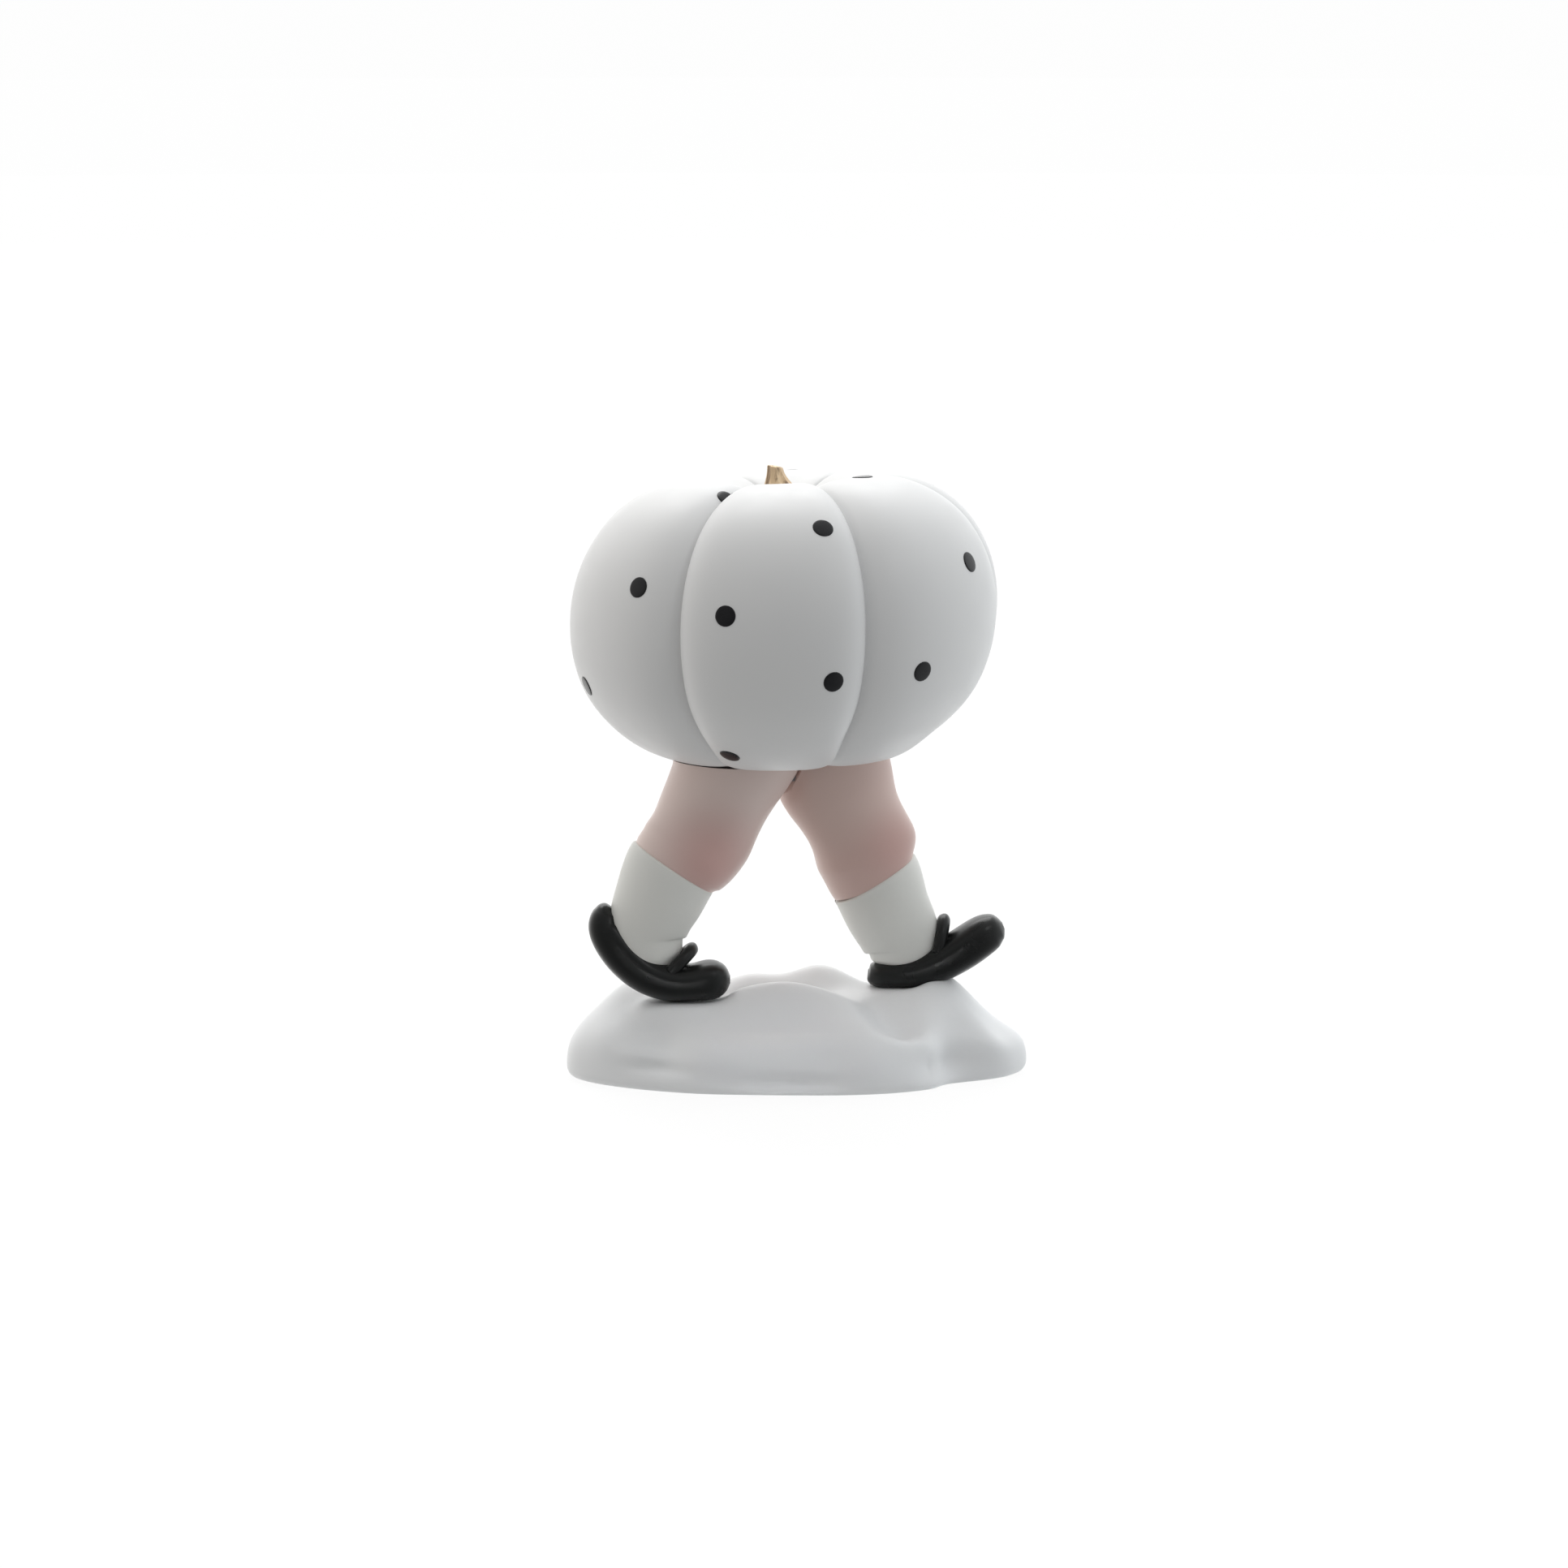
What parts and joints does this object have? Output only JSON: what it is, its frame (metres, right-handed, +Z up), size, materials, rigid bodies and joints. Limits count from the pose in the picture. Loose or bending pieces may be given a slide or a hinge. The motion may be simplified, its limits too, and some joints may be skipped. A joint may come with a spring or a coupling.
{
  "type": "vinyl art toy",
  "caption": "Collectible vinyl figure: a dotted pumpkin with a stem that turns on striding legs in socks and strapped shoes, on a snow-mound base.",
  "frame": {"origin": "centre of the toy's footprint, on the surface that it stands on", "axes": "+X is the way the legs walk, -Y is the viewer's side, +Z is up along the pumpkin's turning axis"},
  "size_m": [0.1501, 0.1418, 0.2003],
  "materials": {
    "pumpkin_vinyl": "satin",
    "dot_black": "satin",
    "stem_gold": "satin metallic paint",
    "hard_plastic": "moulded",
    "felt_black": "felt",
    "steel": "plated",
    "flesh_vinyl": "satin, blushed knees",
    "sock_white": "satin",
    "shoe_black": "satin gloss",
    "base_white": "satin",
    "pad_foam": "closed-cell foam"
  },
  "bodies": {
    "figure": {"hip_block": "hard_plastic", "friction_washer": "felt_black", "retaining_washer": "steel", "retaining_screw": "steel", "trailing_leg": "flesh_vinyl", "leading_leg": "flesh_vinyl", "trailing_leg_rod": "steel", "leading_leg_rod": "steel", "trailing_sock": "sock_white", "leading_sock": "sock_white", "trailing_shoe": "shoe_black", "leading_shoe": "shoe_black", "trailing_strap": "shoe_black", "leading_strap": "shoe_black", "base_shell": "base_white", "shoe_screws": "steel", "screw_washers": "steel", "base_plate": "hard_plastic", "plate_screws": "steel", "base_pad": "pad_foam"},
    "pumpkin": {"pumpkin_shell": "pumpkin_vinyl", "dot_inlays": "dot_black", "stem": "stem_gold", "neck_bushing": "hard_plastic"}
  },
  "joints": [
    {"name": "pumpkin_turn", "type": "hinge", "parent": "figure", "child": "pumpkin", "pos_m": [-0.0042, 0.0007, 0.1092], "axis": [0, 0, 1], "continuous": true}
  ]
}
